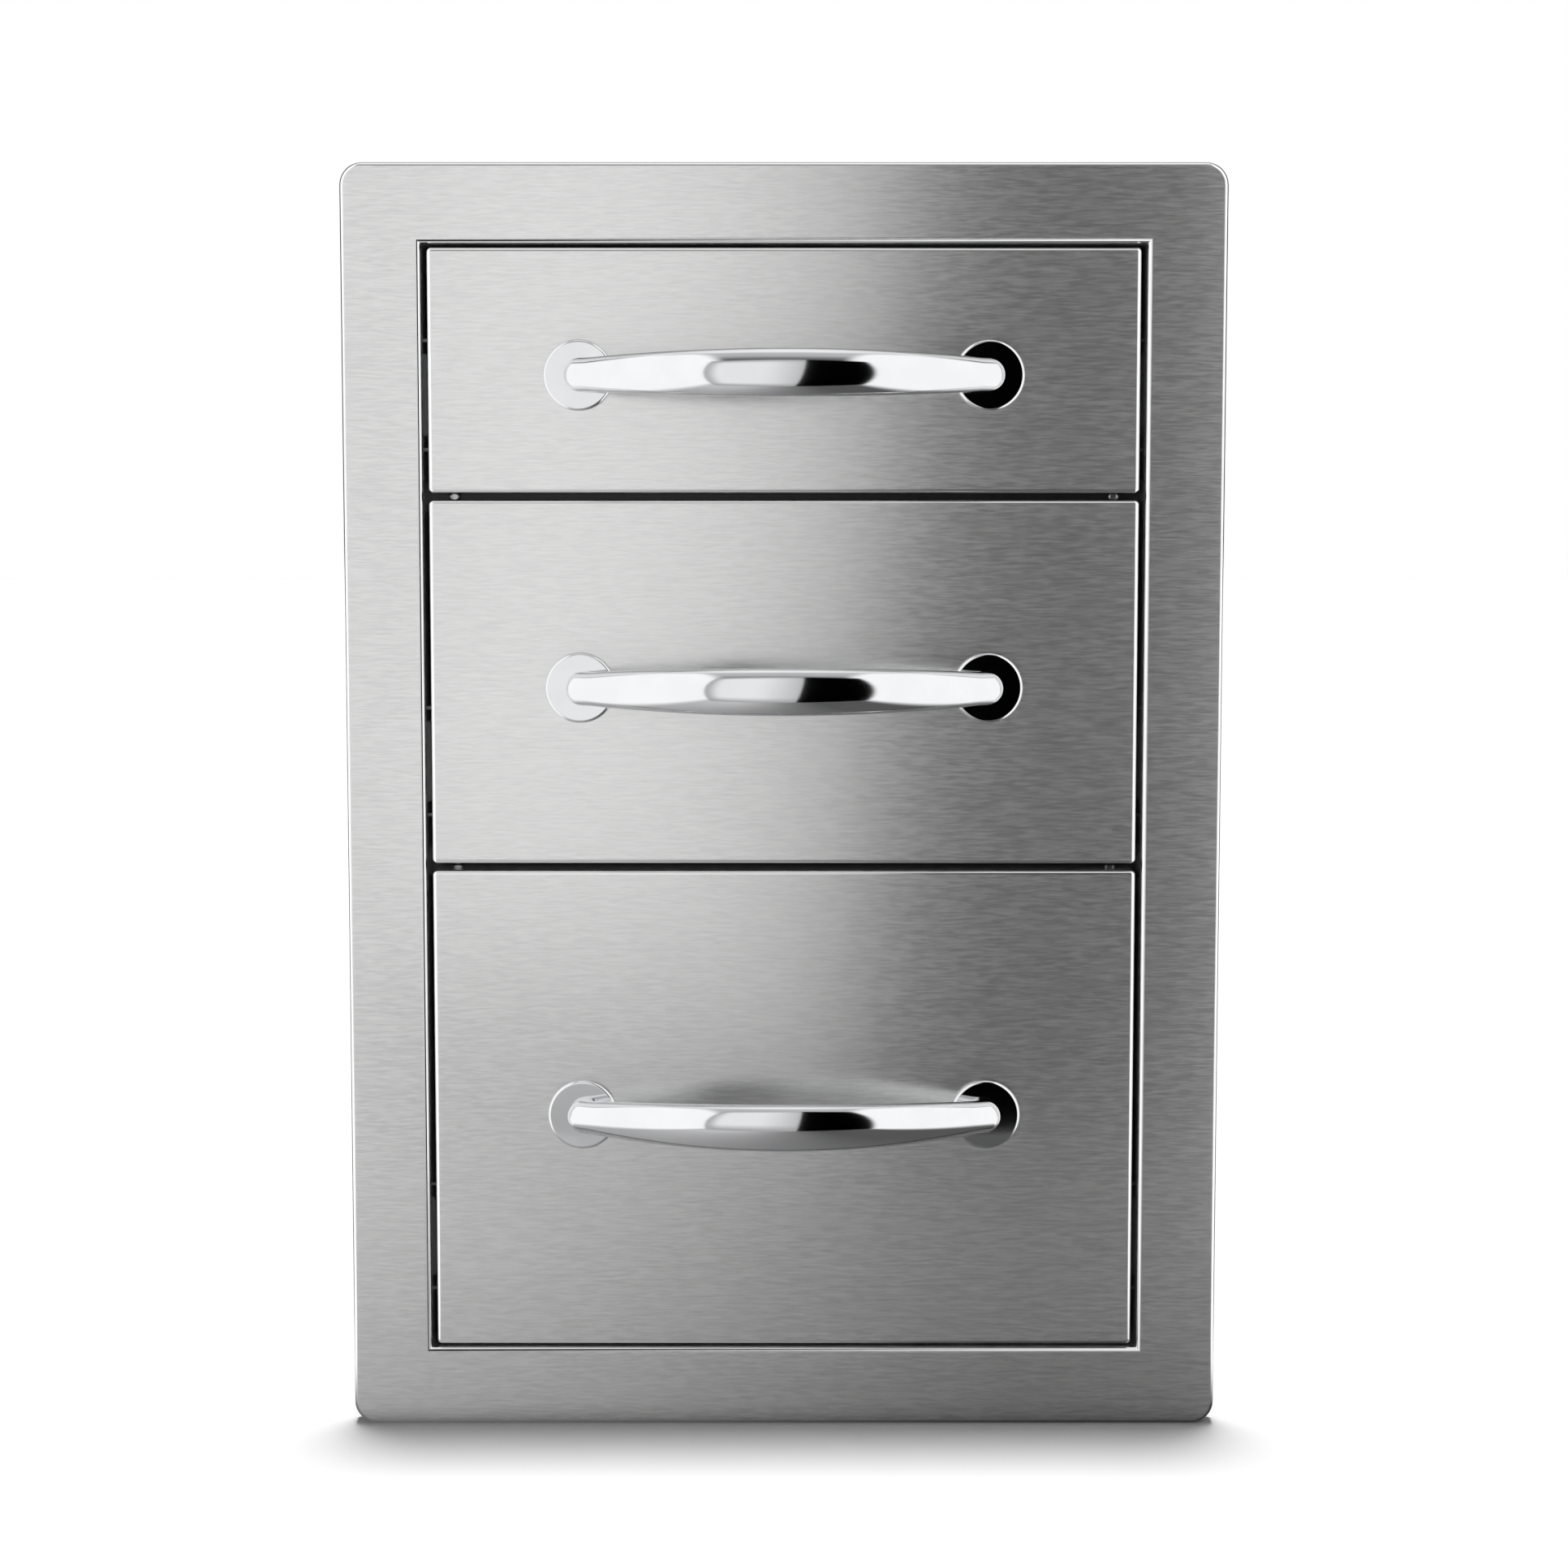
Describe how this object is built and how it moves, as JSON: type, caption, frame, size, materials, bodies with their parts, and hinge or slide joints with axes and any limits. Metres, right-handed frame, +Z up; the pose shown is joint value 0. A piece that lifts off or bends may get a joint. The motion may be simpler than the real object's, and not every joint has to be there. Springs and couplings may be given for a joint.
{
  "type": "outdoor kitchen drawer unit",
  "caption": "Built-in steel drawer unit for an outdoor kitchen: flanged face frame, stacked drawers on ball slides, bow handles and a sheet housing.",
  "frame": {"origin": "middle of the bottom rail's rear seat, in the plane of the island's face", "axes": "+X to the right seen from the front, +Y into the island, +Z up"},
  "size_m": [0.3556, 0.6173, 0.5155],
  "materials": {
    "brushed_steel_face": "fine horizontal brush grain, lightly lacquered by the polish",
    "plain_steel_sheet": "plain rolled sheet, dull",
    "polished_chrome": "mirror polished",
    "zinc_plated_steel": "bright zinc plate with a faint haze",
    "retainer_steel": "dark oiled strip with bright balls",
    "screw_steel": "bright turned stainless"
  },
  "bodies": {
    "cabinet": {"face_frame": "brushed_steel_face", "housing_wrap": "plain_steel_sheet", "housing_top": "plain_steel_sheet", "housing_back": "plain_steel_sheet", "upper_divider_rail": "plain_steel_sheet", "lower_divider_rail": "plain_steel_sheet", "top_left_slide_outer_member": "zinc_plated_steel", "top_right_slide_outer_member": "zinc_plated_steel", "middle_left_slide_outer_member": "zinc_plated_steel", "middle_right_slide_outer_member": "zinc_plated_steel", "bottom_left_slide_outer_member": "zinc_plated_steel", "bottom_right_slide_outer_member": "zinc_plated_steel"},
    "top_drawer": {"top_front_pan": "brushed_steel_face", "top_front_liner": "plain_steel_sheet", "top_tub": "plain_steel_sheet", "top_handle": "polished_chrome", "top_left_rosette": "polished_chrome", "top_left_handle_screw": "screw_steel", "top_left_slide_inner_member": "zinc_plated_steel", "top_right_rosette": "polished_chrome", "top_right_handle_screw": "screw_steel", "top_right_slide_inner_member": "zinc_plated_steel"},
    "top_middle_members": {"top_left_slide_middle_member": "zinc_plated_steel", "top_right_slide_middle_member": "zinc_plated_steel"},
    "top_outer_cages": {"top_left_slide_outer_ball_cage": "retainer_steel", "top_right_slide_outer_ball_cage": "retainer_steel"},
    "top_inner_cages": {"top_left_slide_inner_ball_cage": "retainer_steel", "top_right_slide_inner_ball_cage": "retainer_steel"},
    "middle_drawer": {"middle_front_pan": "brushed_steel_face", "middle_front_liner": "plain_steel_sheet", "middle_tub": "plain_steel_sheet", "middle_handle": "polished_chrome", "middle_left_rosette": "polished_chrome", "middle_left_handle_screw": "screw_steel", "middle_left_slide_inner_member": "zinc_plated_steel", "middle_right_rosette": "polished_chrome", "middle_right_handle_screw": "screw_steel", "middle_right_slide_inner_member": "zinc_plated_steel"},
    "middle_middle_members": {"middle_left_slide_middle_member": "zinc_plated_steel", "middle_right_slide_middle_member": "zinc_plated_steel"},
    "middle_outer_cages": {"middle_left_slide_outer_ball_cage": "retainer_steel", "middle_right_slide_outer_ball_cage": "retainer_steel"},
    "middle_inner_cages": {"middle_left_slide_inner_ball_cage": "retainer_steel", "middle_right_slide_inner_ball_cage": "retainer_steel"},
    "bottom_drawer": {"bottom_front_pan": "brushed_steel_face", "bottom_front_liner": "plain_steel_sheet", "bottom_tub": "plain_steel_sheet", "bottom_handle": "polished_chrome", "bottom_left_rosette": "polished_chrome", "bottom_left_handle_screw": "screw_steel", "bottom_left_slide_inner_member": "zinc_plated_steel", "bottom_right_rosette": "polished_chrome", "bottom_right_handle_screw": "screw_steel", "bottom_right_slide_inner_member": "zinc_plated_steel"},
    "bottom_middle_members": {"bottom_left_slide_middle_member": "zinc_plated_steel", "bottom_right_slide_middle_member": "zinc_plated_steel"},
    "bottom_outer_cages": {"bottom_left_slide_outer_ball_cage": "retainer_steel", "bottom_right_slide_outer_ball_cage": "retainer_steel"},
    "bottom_inner_cages": {"bottom_left_slide_inner_ball_cage": "retainer_steel", "bottom_right_slide_inner_ball_cage": "retainer_steel"}
  },
  "joints": [
    {"name": "top_drawer_slide", "type": "slide", "parent": "cabinet", "child": "top_drawer", "axis": [0, -1, 0], "range_m": [0, 0.5]},
    {"name": "top_middle_members_slide", "type": "slide", "parent": "cabinet", "child": "top_middle_members", "axis": [0, -1, 0], "range_m": [0, 0.25]},
    {"name": "top_outer_cages_slide", "type": "slide", "parent": "cabinet", "child": "top_outer_cages", "axis": [0, -1, 0], "range_m": [0, 0.125]},
    {"name": "top_inner_cages_slide", "type": "slide", "parent": "cabinet", "child": "top_inner_cages", "axis": [0, -1, 0], "range_m": [0, 0.375]},
    {"name": "middle_drawer_slide", "type": "slide", "parent": "cabinet", "child": "middle_drawer", "axis": [0, -1, 0], "range_m": [0, 0.5]},
    {"name": "middle_middle_members_slide", "type": "slide", "parent": "cabinet", "child": "middle_middle_members", "axis": [0, -1, 0], "range_m": [0, 0.25]},
    {"name": "middle_outer_cages_slide", "type": "slide", "parent": "cabinet", "child": "middle_outer_cages", "axis": [0, -1, 0], "range_m": [0, 0.125]},
    {"name": "middle_inner_cages_slide", "type": "slide", "parent": "cabinet", "child": "middle_inner_cages", "axis": [0, -1, 0], "range_m": [0, 0.375]},
    {"name": "bottom_drawer_slide", "type": "slide", "parent": "cabinet", "child": "bottom_drawer", "axis": [0, -1, 0], "range_m": [0, 0.5]},
    {"name": "bottom_middle_members_slide", "type": "slide", "parent": "cabinet", "child": "bottom_middle_members", "axis": [0, -1, 0], "range_m": [0, 0.25]},
    {"name": "bottom_outer_cages_slide", "type": "slide", "parent": "cabinet", "child": "bottom_outer_cages", "axis": [0, -1, 0], "range_m": [0, 0.125]},
    {"name": "bottom_inner_cages_slide", "type": "slide", "parent": "cabinet", "child": "bottom_inner_cages", "axis": [0, -1, 0], "range_m": [0, 0.375]}
  ],
  "couplings": [
    {"joint": "top_middle_members_slide", "follows": "top_drawer_slide", "ratio": 0.5},
    {"joint": "top_outer_cages_slide", "follows": "top_drawer_slide", "ratio": 0.25},
    {"joint": "top_inner_cages_slide", "follows": "top_drawer_slide", "ratio": 0.75},
    {"joint": "middle_middle_members_slide", "follows": "middle_drawer_slide", "ratio": 0.5},
    {"joint": "middle_outer_cages_slide", "follows": "middle_drawer_slide", "ratio": 0.25},
    {"joint": "middle_inner_cages_slide", "follows": "middle_drawer_slide", "ratio": 0.75},
    {"joint": "bottom_middle_members_slide", "follows": "bottom_drawer_slide", "ratio": 0.5},
    {"joint": "bottom_outer_cages_slide", "follows": "bottom_drawer_slide", "ratio": 0.25},
    {"joint": "bottom_inner_cages_slide", "follows": "bottom_drawer_slide", "ratio": 0.75}
  ]
}
